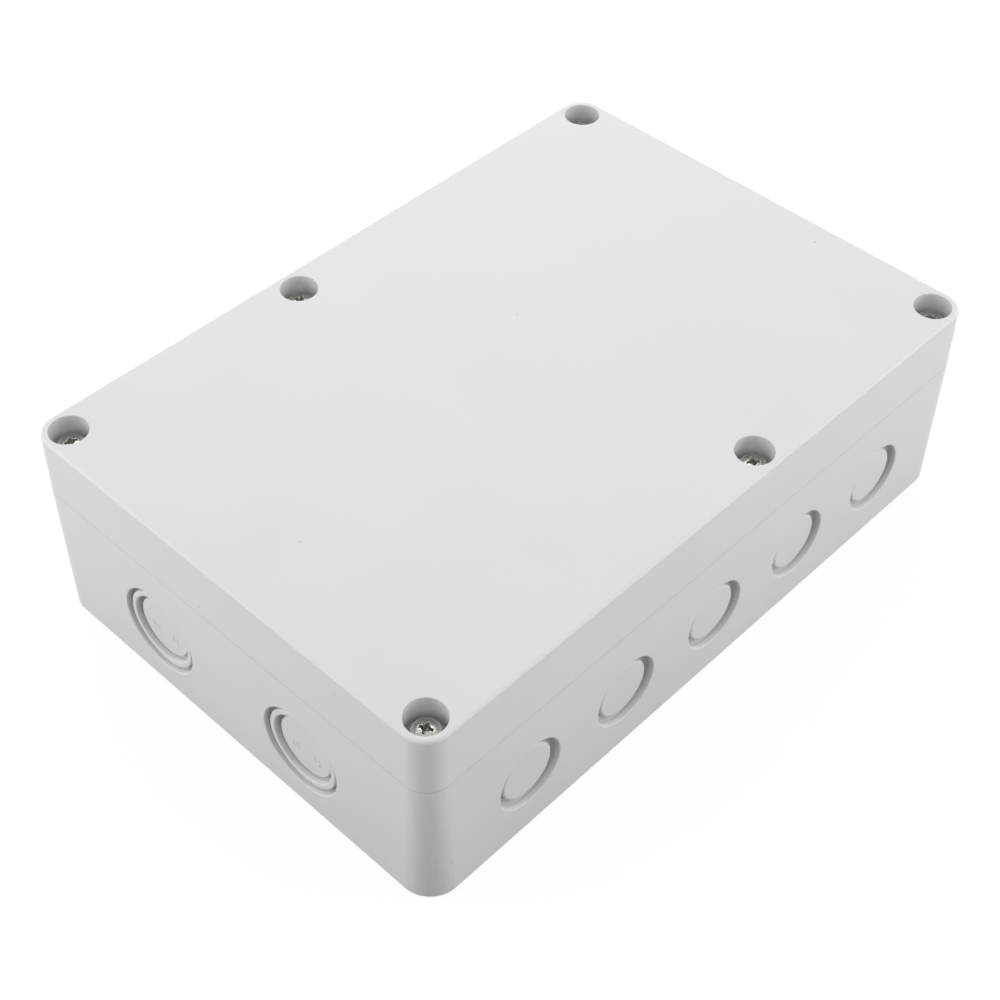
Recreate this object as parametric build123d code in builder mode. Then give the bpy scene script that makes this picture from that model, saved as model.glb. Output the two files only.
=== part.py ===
from build123d import *
from math import sqrt
import os

# Outdoor electrical enclosure: a deep base with cable knock-outs and a flat lid held by six screws.
# Millimetres, +Z up. The origin is the centre of the base's flat underside, +X along the long side.
# The front is the long wall at -Y. The enclosure is the same when it is turned half a turn about Z.

# Outer shell
length = 254.0
depth = 175.0
base_height = 53.0
lid_height = 23.0
corner_radius = 8.5
foot_corner_radius = 10.7
wall = 3.2
floor_thickness = 3.0
lid_top_thickness = 3.0
lid_edge_radius = 1.0
base_edge_radius = 0.5
parting_chamfer = 0.2

# Seal: a tongue on the base presses into a gasket at the top of the lid's groove
lid_skirt = 1.2
groove_width = 2.1
groove_lip = 1.3
tongue_width = 1.5
tongue_height = 3.0
gasket_height = 2.7
gasket_gap = 0.3
gasket_side_gap = 0.05
seal_wall = 1.9
seal_fillet = 3.5

# Lid screws: one in each corner and one part-way along each long side
screw_inset_x = 8.6
screw_inset_y = 8.6
middle_screw_x = 23.15
counterbore_radius = 6.45
counterbore_depth = 9.6
counterbore_chamfer = 0.15
counterbore_wall = 1.7
head_radius = 4.75
head_height = 3.7
head_dome_radius = 8.0
recess_length = 4.9
recess_slot = 1.15
recess_depth = 2.2
recess_taper = 8.0
shank_radius = 1.75
thread_radius = 2.5
thread_length = 9.0
screw_length = 20.0
tip_chamfer = 0.7
lip_thickness = 2.0
lip_clearance = 0.2
thread_clearance = 0.3
washer_thickness = 1.0
washer_radius = 4.5
running_clearance = 0.05

# Columns and brass inserts that take the lid screws
column_radius = 5.5
insert_radius = 3.5
insert_length = 9.5
insert_sink = 0.3
insert_seat_gap = 0.02
relief_depth = 13.0
middle_flare_height = 6.0
rim_height = 3.0

# Corner pockets outside the seal, each with a hole for a wall screw
pocket_x = 16.0
pocket_y = 29.0
fixing_spacing_x = 237.5
fixing_spacing_y = 131.0
fixing_hole_radius = 2.5
fixing_floor = 5.0

# Single knock-outs in the long walls
single_count = 5
single_pitch = 42.5
single_height = 24.8
single_radius = 12.7
single_disc_radius = 10.3
single_disc_recess = 1.3
single_disc_rounding = 0.6

# Double knock-outs in the short walls: a small one inside a large one
double_pitch = 66.0
double_height = 25.0
double_radius = 15.9
double_ring_radius = 14.5
double_ring_recess = 0.9
double_inner_radius = 12.4
double_disc_radius = 11.0
double_disc_recess = 2.2
double_pad_radius = 13.9
double_pad_thickness = 1.0
knockout_web = 0.8
knockout_chamfer = 0.25

# Bosses on the floor for a mounting plate and for a rail
boss_radius = 4.0
boss_height = 6.0
boss_hole_radius = 1.7
boss_hole_depth = 7.0
plate_boss_spacing_x = 196.0
plate_boss_spacing_y = 124.0
rail_boss_spacing = 150.0

# Working values: how far a cutter reaches past what it cuts, and how closely a place is matched
cut_margin = 1.0
match_tolerance = 0.01

# Places that follow from the sizes above
height = base_height + lid_height
seal_inset = lid_skirt + groove_width / 2
seal_half_length = length / 2 - seal_inset
seal_half_depth = depth / 2 - seal_inset
middle_seal_radius = column_radius + seal_wall / 2
pocket_gap = length - 2 * (pocket_x + wall + seal_fillet)
groove_depth = tongue_height + gasket_gap + gasket_height
screw_x = length / 2 - screw_inset_x
screw_y = depth / 2 - screw_inset_y
counterbore_floor = height - counterbore_depth
head_underside = counterbore_floor + washer_thickness
inner_length = length - 2 * wall
inner_depth = depth - 2 * wall

corner_sites = {
    "front_left": (-screw_x, -screw_y),
    "front_right": (screw_x, -screw_y),
    "back_left": (-screw_x, screw_y),
    "back_right": (screw_x, screw_y),
}
middle_sites = {
    "front_middle": (middle_screw_x, -screw_y),
    "back_middle": (-middle_screw_x, screw_y),
}
screw_sites = {**corner_sites, **middle_sites}


# Sealing line: it follows the walls and steps inside each screw and corner pocket
with BuildSketch() as seal_line:
    Rectangle(2 * seal_half_length, 2 * seal_half_depth)
    with GridLocations(length, depth, 2, 2):
        Rectangle(2 * pocket_x, 2 * pocket_y, mode=Mode.SUBTRACT)
    fillet(seal_line.vertices(), seal_fillet)
    with Locations(*middle_sites.values()):
        Circle(middle_seal_radius, mode=Mode.SUBTRACT)
    with Locations((middle_screw_x, -depth / 2), (-middle_screw_x, depth / 2)):
        Rectangle(2 * middle_seal_radius, 2 * screw_inset_y, mode=Mode.SUBTRACT)
    slot_mouths = [
        vertex
        for vertex in seal_line.vertices()
        if abs(abs(vertex.Y) - seal_half_depth) < match_tolerance
        and abs(vertex.X) < middle_screw_x + 2 * middle_seal_radius
    ]
    fillet(slot_mouths, seal_fillet)


def seal_band(width):
    """A band of the given width that follows the sealing line."""
    with BuildSketch() as band:
        offset(seal_line.sketch, amount=width / 2)
        offset(seal_line.sketch, amount=-width / 2, mode=Mode.SUBTRACT)
    return band.sketch


def knockout_cutter(profile):
    """What one knock-out takes out of a wall, turned about +Z with the wall's face at z = 0."""
    with BuildPart() as cutter:
        with BuildSketch(Plane.XZ):
            with BuildLine():
                Polyline(*profile, close=True)
            make_face()
        revolve(axis=Axis.Z)
    return cutter


# Single knock-out: a disc set back from the wall's face, with a groove round it down to a thin web
single_groove = wall - knockout_web
single_cutter = knockout_cutter(
    [
        (0, cut_margin),
        (single_radius + knockout_chamfer, cut_margin),
        (single_radius + knockout_chamfer, 0),
        (single_radius, -knockout_chamfer),
        (single_radius, -single_groove),
        (single_disc_radius, -single_groove),
        (single_disc_radius, -single_disc_recess - single_disc_rounding),
        (single_disc_radius - single_disc_rounding, -single_disc_recess),
        (0, -single_disc_recess),
    ]
)

# Double knock-out: a ring and, deeper inside it, a disc, each with its own groove
double_inner_groove = wall + double_pad_thickness - knockout_web
double_cutter = knockout_cutter(
    [
        (0, cut_margin),
        (double_radius + knockout_chamfer, cut_margin),
        (double_radius + knockout_chamfer, 0),
        (double_radius, -knockout_chamfer),
        (double_radius, -single_groove),
        (double_ring_radius, -single_groove),
        (double_ring_radius, -double_ring_recess),
        (double_inner_radius, -double_ring_recess),
        (double_inner_radius, -double_inner_groove),
        (double_disc_radius, -double_inner_groove),
        (double_disc_radius, -double_disc_recess),
        (0, -double_disc_recess),
    ]
)


def corner_outline(radius):
    """What rounding takes off a square corner that stands at the origin."""
    with BuildSketch() as outline:
        with BuildLine():
            Polyline(
                (0, radius),
                (-cut_margin, radius),
                (-cut_margin, -cut_margin),
                (radius, -cut_margin),
                (radius, 0),
            )
            RadiusArc((0, radius), (radius, 0), -radius)
        make_face()
    return outline.sketch


# Corner of the base, which is rounder at the foot than at the parting line
with BuildPart() as corner_cutter:
    with BuildSketch():
        add(corner_outline(foot_corner_radius))
    with BuildSketch(Plane.XY.offset(base_height)):
        add(corner_outline(corner_radius))
    loft(ruled=True)

# Planes on the outer faces of the walls, each with z out of the wall and y up
front_wall = Plane(origin=(0, -depth / 2, 0), x_dir=(1, 0, 0), z_dir=(0, -1, 0))
back_wall = Plane(origin=(0, depth / 2, 0), x_dir=(-1, 0, 0), z_dir=(0, 1, 0))
left_wall = Plane(origin=(-length / 2, 0, 0), x_dir=(0, -1, 0), z_dir=(-1, 0, 0))
right_wall = Plane(origin=(length / 2, 0, 0), x_dir=(0, 1, 0), z_dir=(1, 0, 0))

# Planes on the four corners, each with x and y along the walls that meet there
corner_planes = [
    Plane(origin=(-length / 2, -depth / 2, 0), x_dir=(1, 0, 0)),
    Plane(origin=(length / 2, -depth / 2, 0), x_dir=(0, 1, 0)),
    Plane(origin=(length / 2, depth / 2, 0), x_dir=(-1, 0, 0)),
    Plane(origin=(-length / 2, depth / 2, 0), x_dir=(0, -1, 0)),
]


# Base
with BuildPart() as base:
    # Outer shell and floor
    with BuildSketch():
        Rectangle(length, depth)
    extrude(amount=base_height)
    for corner_plane in corner_planes:
        with Locations(corner_plane):
            add(corner_cutter.part, mode=Mode.SUBTRACT)
    fillet(base.faces().sort_by(Axis.Z)[0].edges(), base_edge_radius)
    chamfer(base.faces().sort_by(Axis.Z)[-1].edges(), parting_chamfer)
    with BuildSketch(Plane.XY.offset(floor_thickness)):
        RectangleRounded(inner_length, inner_depth, foot_corner_radius - wall)
    extrude(amount=base_height, mode=Mode.SUBTRACT)

    # Seal wall round the corner pockets, the rim, and the tongue that stands on it
    with BuildSketch(Plane.XY.offset(floor_thickness / 2)):
        add(seal_band(seal_wall))
        Rectangle(pocket_gap, depth, mode=Mode.SUBTRACT)
    extrude(amount=base_height - floor_thickness / 2)
    with BuildSketch(Plane.XY.offset(base_height - rim_height)):
        add(seal_band(seal_wall))
    extrude(amount=rim_height)
    with BuildSketch(Plane.XY.offset(base_height - rim_height)):
        add(seal_band(tongue_width))
    extrude(amount=rim_height + tongue_height)

    # Thicker floor in the corner pockets
    with BuildSketch(Plane.XY.offset(floor_thickness / 2)):
        RectangleRounded(inner_length + wall, inner_depth + wall, foot_corner_radius - wall / 2)
        add(seal_line.sketch, mode=Mode.SUBTRACT)
    extrude(amount=fixing_floor - floor_thickness / 2)

    # Columns for the lid screws. The middle ones widen below the rim to carry the tongue.
    with BuildSketch(Plane.XY.offset(floor_thickness / 2)):
        with Locations(*screw_sites.values()):
            Circle(column_radius)
    extrude(amount=base_height - floor_thickness / 2)
    with Locations(Plane.XY.offset(base_height - rim_height - middle_flare_height)):
        with Locations(*middle_sites.values()):
            Cone(
                bottom_radius=column_radius,
                top_radius=middle_seal_radius + seal_wall / 2,
                height=middle_flare_height,
                align=(Align.CENTER, Align.CENTER, Align.MIN),
            )

    # Knock-outs, and the pads behind the double ones
    for short_wall in (left_wall, right_wall):
        with BuildSketch(short_wall.offset(-wall - double_pad_thickness)):
            with Locations((-double_pitch / 2, double_height), (double_pitch / 2, double_height)):
                Circle(double_pad_radius)
        extrude(amount=double_pad_thickness + wall / 2)
        with Locations(short_wall):
            with Locations((-double_pitch / 2, double_height), (double_pitch / 2, double_height)):
                add(double_cutter.part, mode=Mode.SUBTRACT)
    for long_wall in (front_wall, back_wall):
        with Locations(long_wall):
            with Locations((0, single_height)):
                with GridLocations(single_pitch, 1, single_count, 1):
                    add(single_cutter.part, mode=Mode.SUBTRACT)

    # Bosses on the floor
    with BuildSketch(Plane.XY.offset(floor_thickness / 2)):
        with GridLocations(plate_boss_spacing_x, plate_boss_spacing_y, 2, 2):
            Circle(boss_radius)
        with GridLocations(rail_boss_spacing, 1, 2, 1):
            Circle(boss_radius)
    extrude(amount=floor_thickness / 2 + boss_height)
    with BuildSketch(Plane.XY.offset(floor_thickness + boss_height)):
        with GridLocations(plate_boss_spacing_x, plate_boss_spacing_y, 2, 2):
            Circle(boss_hole_radius)
        with GridLocations(rail_boss_spacing, 1, 2, 1):
            Circle(boss_hole_radius)
    extrude(amount=-boss_hole_depth, mode=Mode.SUBTRACT)

    # Seats for the inserts, with room for a screw's tip below, and the wall-screw holes
    with BuildSketch(Plane.XY.offset(base_height)):
        with Locations(*screw_sites.values()):
            Circle(insert_radius + insert_seat_gap)
    extrude(amount=-insert_length - insert_sink, mode=Mode.SUBTRACT)
    with BuildSketch(Plane.XY.offset(base_height)):
        with Locations(*screw_sites.values()):
            Circle(thread_radius + thread_clearance)
    extrude(amount=-relief_depth, mode=Mode.SUBTRACT)
    with BuildSketch():
        with GridLocations(fixing_spacing_x, fixing_spacing_y, 2, 2):
            Circle(fixing_hole_radius)
    extrude(amount=fixing_floor, mode=Mode.SUBTRACT)


# Lid
with BuildPart() as lid:
    # Outer shell
    with BuildSketch(Plane.XY.offset(base_height)):
        RectangleRounded(length, depth, corner_radius)
    extrude(amount=lid_height)
    fillet(lid.faces().sort_by(Axis.Z)[-1].edges(), lid_edge_radius)
    chamfer(lid.faces().sort_by(Axis.Z)[0].edges(), parting_chamfer)
    with BuildSketch(Plane.XY.offset(base_height)):
        RectangleRounded(inner_length, inner_depth, corner_radius - wall)
    extrude(amount=lid_height - lid_top_thickness, mode=Mode.SUBTRACT)

    # Walls on both sides of the groove
    with BuildSketch(Plane.XY.offset(base_height)):
        add(seal_band(groove_width + 2 * groove_lip))
    extrude(amount=lid_height - lid_top_thickness / 2)

    # Columns round the counterbores, narrower below them
    with BuildSketch(Plane.XY.offset(base_height)):
        with Locations(*screw_sites.values()):
            Circle(column_radius)
    extrude(amount=lid_height - lid_top_thickness / 2)
    with BuildSketch(Plane.XY.offset(counterbore_floor - lip_thickness)):
        with Locations(*screw_sites.values()):
            Circle(counterbore_radius + counterbore_wall)
    extrude(amount=counterbore_depth + lip_thickness - lid_top_thickness / 2)
    with BuildSketch(Plane.XY.offset(base_height)):
        Rectangle(2 * length, 2 * depth)
        RectangleRounded(length, depth, corner_radius, mode=Mode.SUBTRACT)
    extrude(amount=lid_height, mode=Mode.SUBTRACT)

    # Groove for the gasket and the base's tongue
    with BuildSketch(Plane.XY.offset(base_height)):
        add(seal_band(groove_width))
    extrude(amount=groove_depth, mode=Mode.SUBTRACT)

    # Counterbores, each with a lip below it that keeps the screw's thread from coming out
    with Locations(Plane.XY.offset(height)):
        with Locations(*screw_sites.values()):
            CounterBoreHole(
                radius=shank_radius + lip_clearance,
                counter_bore_radius=counterbore_radius,
                counter_bore_depth=counterbore_depth,
                depth=lid_height,
            )
    with BuildSketch(Plane.XY.offset(base_height)):
        with Locations(*screw_sites.values()):
            Circle(thread_radius + thread_clearance)
    extrude(amount=counterbore_floor - lip_thickness - base_height, mode=Mode.SUBTRACT)
    top_arcs = lid.edges().filter_by(GeomType.CIRCLE).group_by(Axis.Z)[-1]
    mouths = top_arcs.filter_by(lambda edge: abs(edge.radius - counterbore_radius) < match_tolerance)
    chamfer(mouths, counterbore_chamfer)


# Gasket: an endless strip at the top of the lid's groove
with BuildPart() as gasket:
    with BuildSketch(Plane.XY.offset(base_height + groove_depth)):
        add(seal_band(groove_width - 2 * gasket_side_gap))
    extrude(amount=-gasket_height)


# Lid screw: domed head, a thinner shank that the lid's lip keeps captive, and the thread
head_edge_height = head_height - head_dome_radius + sqrt(head_dome_radius**2 - head_radius**2)
dome_middle_radius = head_radius / 2
dome_middle_height = (
    head_height - head_dome_radius + sqrt(head_dome_radius**2 - dome_middle_radius**2)
)
with BuildPart() as lid_screw:
    with BuildSketch(Plane.XZ):
        with BuildLine():
            Polyline(
                (0, head_height),
                (0, -screw_length),
                (thread_radius - tip_chamfer, -screw_length),
                (thread_radius, -screw_length + tip_chamfer),
                (thread_radius, -screw_length + thread_length),
                (shank_radius, -screw_length + thread_length),
                (shank_radius, 0),
                (head_radius, 0),
                (head_radius, head_edge_height),
            )
            ThreePointArc(
                (head_radius, head_edge_height),
                (dome_middle_radius, dome_middle_height),
                (0, head_height),
            )
        make_face()
    revolve(axis=Axis.Z)
    with BuildSketch(Plane.XY.offset(head_height)):
        Rectangle(recess_length, recess_slot)
        Rectangle(recess_slot, recess_length)
    extrude(amount=-recess_depth, taper=recess_taper, mode=Mode.SUBTRACT)

# Soft washer under the head
with BuildPart() as captive_washer:
    with BuildSketch():
        Circle(washer_radius)
        Circle(shank_radius + running_clearance, mode=Mode.SUBTRACT)
    extrude(amount=washer_thickness)

# Brass insert: its bore holds the screw's thread
with BuildPart() as threaded_insert:
    with BuildSketch():
        Circle(insert_radius)
        Circle(thread_radius + running_clearance, mode=Mode.SUBTRACT)
    extrude(amount=-insert_length)


# Each fastener is copied to its place from the one modelled above
os.makedirs("parts", exist_ok=True)
fasteners = {
    "lid_screw": (lid_screw, head_underside),
    "captive_washer": (captive_washer, counterbore_floor),
    "threaded_insert": (threaded_insert, base_height - insert_sink),
}
for kind, (fastener, level) in fasteners.items():
    for site, (x, y) in screw_sites.items():
        with BuildPart() as placed:
            with Locations((x, y, level)):
                add(fastener.part)
        placed.part.label = f"{kind}_{site}"
        export_step(placed.part, f"parts/{kind}_{site}.step")

base.part.label = "base"
export_step(base.part, "parts/base.step")
lid.part.label = "lid"
export_step(lid.part, "parts/lid.step")
gasket.part.label = "gasket"
export_step(gasket.part, "parts/gasket.step")
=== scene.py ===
"""Looks of an outdoor electrical enclosure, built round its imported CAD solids.

The moulded base and lid are merged copies of their CAD shapes, in which the knock-outs and
counterbores are cut again with rounded, finely divided edges. The screws, washers, inserts and
the gasket are modelled here in full, and stand for their plain solids.
Lengths in the classes are in millimetres unless they say otherwise, and meshes are in metres.
"""

import logging
import math
from contextlib import contextmanager
from dataclasses import dataclass
from enum import Enum
from typing import Callable, ClassVar, Iterable, Iterator, Sequence

import bmesh
import bpy
from bpy.types import Material, Node, NodeOutputs, NodeSocket, NodeTree, Object
from mathutils import Matrix, Vector


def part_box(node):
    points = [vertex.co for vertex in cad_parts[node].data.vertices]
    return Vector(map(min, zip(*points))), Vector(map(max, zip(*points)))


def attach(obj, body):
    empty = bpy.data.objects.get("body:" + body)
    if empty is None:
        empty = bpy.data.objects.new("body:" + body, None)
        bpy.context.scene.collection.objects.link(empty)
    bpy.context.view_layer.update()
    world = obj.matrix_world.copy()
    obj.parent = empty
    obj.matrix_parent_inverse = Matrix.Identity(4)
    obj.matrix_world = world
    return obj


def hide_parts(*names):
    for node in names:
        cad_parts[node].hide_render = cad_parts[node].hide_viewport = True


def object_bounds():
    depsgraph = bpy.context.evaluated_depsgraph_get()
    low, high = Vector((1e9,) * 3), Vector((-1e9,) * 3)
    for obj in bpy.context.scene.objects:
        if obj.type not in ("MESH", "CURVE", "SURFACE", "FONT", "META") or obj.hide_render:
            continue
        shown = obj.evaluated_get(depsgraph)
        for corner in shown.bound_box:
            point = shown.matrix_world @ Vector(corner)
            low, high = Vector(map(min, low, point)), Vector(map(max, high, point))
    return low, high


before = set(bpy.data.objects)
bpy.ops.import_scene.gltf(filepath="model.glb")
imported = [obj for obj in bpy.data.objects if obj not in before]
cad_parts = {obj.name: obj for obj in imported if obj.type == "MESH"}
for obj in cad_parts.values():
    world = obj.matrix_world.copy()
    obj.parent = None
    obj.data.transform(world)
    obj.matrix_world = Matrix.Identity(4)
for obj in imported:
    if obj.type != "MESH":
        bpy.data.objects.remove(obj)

CAD_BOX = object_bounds()
MM = 0.001
MERGE_DISTANCE = 0.002 * MM
SMOOTH_ANGLE = math.radians(32)
FULL_TURN = 2 * math.pi
ARC_STEPS = 5

log = logging.getLogger("enclosure")

Pair = tuple[float, float]
Point = tuple[float, float, float]
Colour = tuple[float, float, float, float]
Profile = Sequence[Pair]
Layer = tuple[NodeSocket, Colour]


class Slot(Enum):
    """Material slots of the record."""

    PLASTIC = "enclosure_plastic"
    GASKET = "gasket_rubber"
    STEEL = "screw_steel"
    WASHER = "washer_rubber"
    BRASS = "insert_brass"


class Site(Enum):
    """Places of the six lid screws."""

    FRONT_LEFT = "front_left"
    FRONT_MIDDLE = "front_middle"
    FRONT_RIGHT = "front_right"
    BACK_LEFT = "back_left"
    BACK_MIDDLE = "back_middle"
    BACK_RIGHT = "back_right"


class Attribute(Enum):
    """Names of the attributes that finishes read."""

    OWN_PLACE = "own_place"
    GROOVE = "groove_share"


Finishes = dict[Slot, Material]


def deselect_all() -> None:
    """Leaves object mode with nothing selected."""
    if bpy.context.object and bpy.context.object.mode != "OBJECT":
        bpy.ops.object.mode_set(mode="OBJECT")
    bpy.ops.object.select_all(action="DESELECT")


def make_active(piece: Object) -> None:
    """Selects one object alone and makes it active.

    Args:
        piece: the object.
    """
    deselect_all()
    piece.select_set(True)
    bpy.context.view_layer.objects.active = piece


@contextmanager
def editing(piece: Object) -> Iterator[None]:
    """Opens a piece in edit mode with all of it selected, and leaves that mode at the end.

    Args:
        piece: the object to edit.

    Yields:
        Nothing, while the piece is open.
    """
    make_active(piece)
    bpy.ops.object.mode_set(mode="EDIT")
    bpy.ops.mesh.select_mode(type="VERT")
    bpy.ops.mesh.select_all(action="SELECT")
    yield
    bpy.ops.object.mode_set(mode="OBJECT")


def select_faces(piece: Object, wanted: Callable[[Vector, Vector], bool]) -> None:
    """Selects faces of a piece that is in edit mode.

    Args:
        piece: the object in edit mode.
        wanted: says, from a face's centre and normal, whether it is selected.
    """
    bpy.ops.mesh.select_mode(type="FACE")
    bpy.ops.mesh.select_all(action="DESELECT")
    mesh = bmesh.from_edit_mesh(piece.data)
    for face in mesh.faces:
        face.select = wanted(face.calc_center_median(), face.normal)
    mesh.select_flush_mode()
    bmesh.update_edit_mesh(piece.data)


def draw_profile(name: str, points: Profile) -> Object:
    """Draws a chain of edges in the XZ plane by extruding one vertex.

    Args:
        name: the new object's name.
        points: radius and height of each point.

    Returns:
        The chain.
    """
    deselect_all()
    radius, height = points[0]
    bpy.ops.mesh.primitive_plane_add(size=MM, location=(radius * MM, 0, height * MM))
    chain = bpy.context.object
    chain.name = name
    bpy.ops.object.transform_apply(location=True, rotation=False, scale=False)
    with editing(chain):
        bpy.ops.mesh.merge(type="CENTER")
        for start, end in zip(points, points[1:]):
            step = ((end[0] - start[0]) * MM, 0, (end[1] - start[1]) * MM)
            bpy.ops.mesh.extrude_region_move(TRANSFORM_OT_translate={"value": step})
    return chain


def turned(name: str, points: Profile, steps: int) -> Object:
    """Spins a profile round Z into a closed solid.

    Args:
        name: the new object's name.
        points: radius and height of each profile point.
        steps: how many segments the circle has.

    Returns:
        The solid, with its axis on Z.
    """
    piece = draw_profile(name, points)
    with editing(piece):
        bpy.ops.mesh.spin(steps=steps, angle=FULL_TURN, center=(0, 0, 0), axis=(0, 0, 1))
        bpy.ops.mesh.select_all(action="SELECT")
        bpy.ops.mesh.remove_doubles(threshold=MERGE_DISTANCE)
        bpy.ops.mesh.normals_make_consistent(inside=False)
    return piece


def apply_modifier(piece: Object, kind: str, **settings: object) -> None:
    """Adds a modifier to a piece and applies it.

    Args:
        piece: the object that it changes.
        kind: the modifier's type.
        **settings: the modifier's properties.
    """
    make_active(piece)
    bpy.ops.object.modifier_add(type=kind)
    modifier = piece.modifiers[-1]
    for name, value in settings.items():
        setattr(modifier, name, value)
    bpy.ops.object.modifier_apply(modifier=modifier.name)


def remove(piece: Object) -> None:
    """Deletes a model or cutter that is no longer needed."""
    bpy.data.objects.remove(piece, do_unlink=True)


def combine(piece: Object, tool: Object, operation: str) -> None:
    """Adds another solid to a piece, or takes it away, and deletes that solid."""
    apply_modifier(piece, "BOOLEAN", operation=operation, solver="EXACT", object=tool)
    remove(tool)


def soften_edges(piece: Object, width: float, segments: int = 2) -> None:
    """Bevels a piece's sharp edges.

    Args:
        piece: the object to soften.
        width: the bevel's width.
        segments: how many faces each bevel has across.
    """
    limit = {"limit_method": "ANGLE", "angle_limit": SMOOTH_ANGLE}
    apply_modifier(piece, "BEVEL", width=width * MM, segments=segments, **limit)


def smooth(piece: Object) -> None:
    """Shades a piece smooth except across its sharp edges."""
    make_active(piece)
    bpy.ops.object.shade_smooth_by_angle(angle=SMOOTH_ANGLE)


def smooth_flat_faces_kept(piece: Object) -> None:
    """Shades a piece smooth, with normals that keep its large faces flat."""
    smooth(piece)
    apply_modifier(piece, "WEIGHTED_NORMAL", mode="FACE_AREA", keep_sharp=True)


def keep_own_place(piece: Object) -> None:
    """Stores each vertex's place about the piece's own axis, for finishes that follow it.

    Args:
        piece: the finished model, with its axis on Z.
    """
    own = piece.data.attributes.new(Attribute.OWN_PLACE.value, "FLOAT_VECTOR", "POINT")
    for vertex in piece.data.vertices:
        own.data[vertex.index].vector = vertex.co


def place_copy(model: Object, name: str, place: Point, turns: Point = (0.0, 0.0, 0.0)) -> Object:
    """Copies a finished model to its place, with the place held in the copy's mesh.

    Args:
        model: the object to copy, with its axis on Z at the origin.
        name: the copy's name.
        place: where the model's origin goes, in metres.
        turns: the turns about X, Y and Z, in degrees.

    Returns:
        The copy, with its object at the origin.
    """
    make_active(model)
    bpy.ops.object.duplicate(linked=False)
    copy = bpy.context.object
    copy.name = name
    copy.rotation_euler = [math.radians(turn) for turn in turns]
    copy.location = place
    bpy.ops.object.transform_apply(location=True, rotation=True, scale=False)
    return copy


def merged_copy(node: str, name: str) -> Object:
    """Copies a CAD node's mesh and joins its loose triangles.

    Args:
        node: the CAD node.
        name: the copy's name.

    Returns:
        The copy.
    """
    piece = bpy.data.objects.new(name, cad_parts[node].data.copy())
    bpy.context.scene.collection.objects.link(piece)
    with editing(piece):
        bpy.ops.mesh.remove_doubles(threshold=MERGE_DISTANCE)
        bpy.ops.mesh.customdata_custom_splitnormals_clear()
    return piece


def join_all(pieces: Sequence[Object]) -> Object:
    """Joins several objects into the first one.

    Args:
        pieces: the objects to join.

    Returns:
        The joined object.
    """
    make_active(pieces[0])
    for piece in pieces:
        piece.select_set(True)
    bpy.ops.object.join()
    return bpy.context.object


def on_axis(node: str, level: float) -> Point:
    """The point at a level, in metres, on the upright axis of a CAD node."""
    low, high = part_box(node)
    return ((low.x + high.x) / 2, (low.y + high.y) / 2, level)


def arc(centre: Pair, radius: float, start: float, end: float) -> list[Pair]:
    """Points along an arc of a profile.

    Args:
        centre: the arc's centre, as radius and height.
        radius: the arc's radius.
        start: the first point's direction in degrees.
        end: the last point's direction in degrees.

    Returns:
        The arc's points, ends included.
    """
    points = []
    for step in range(ARC_STEPS + 1):
        angle = math.radians(start + (end - start) * step / ARC_STEPS)
        across, up = radius * math.cos(angle), radius * math.sin(angle)
        points.append((centre[0] + across, centre[1] + up))
    return points


def hand_over(
    piece: Object, finishes: Finishes, body: str, slot: Slot, nodes: Iterable[str] = ()
) -> None:
    """Dresses a finished piece and gives it to its body and material slot.

    Args:
        piece: the finished object.
        finishes: the material for each slot.
        body: the CAD body that it moves with.
        slot: the record's slot that its finish is for.
        nodes: the CAD nodes that it stands for.
    """
    piece.data.materials.clear()
    piece.data.materials.append(finishes[slot])
    if nodes:
        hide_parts(*nodes)
    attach(piece, body)
    log.info("%s rides on %s, %d faces", piece.name, body, len(piece.data.polygons))


def scaled(colour: Colour, shares: Point) -> Colour:
    """Multiplies a colour's red, green and blue by a share each."""
    red, green, blue = (channel * share for channel, share in zip(colour, shares))
    return (red, green, blue, 1.0)


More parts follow.
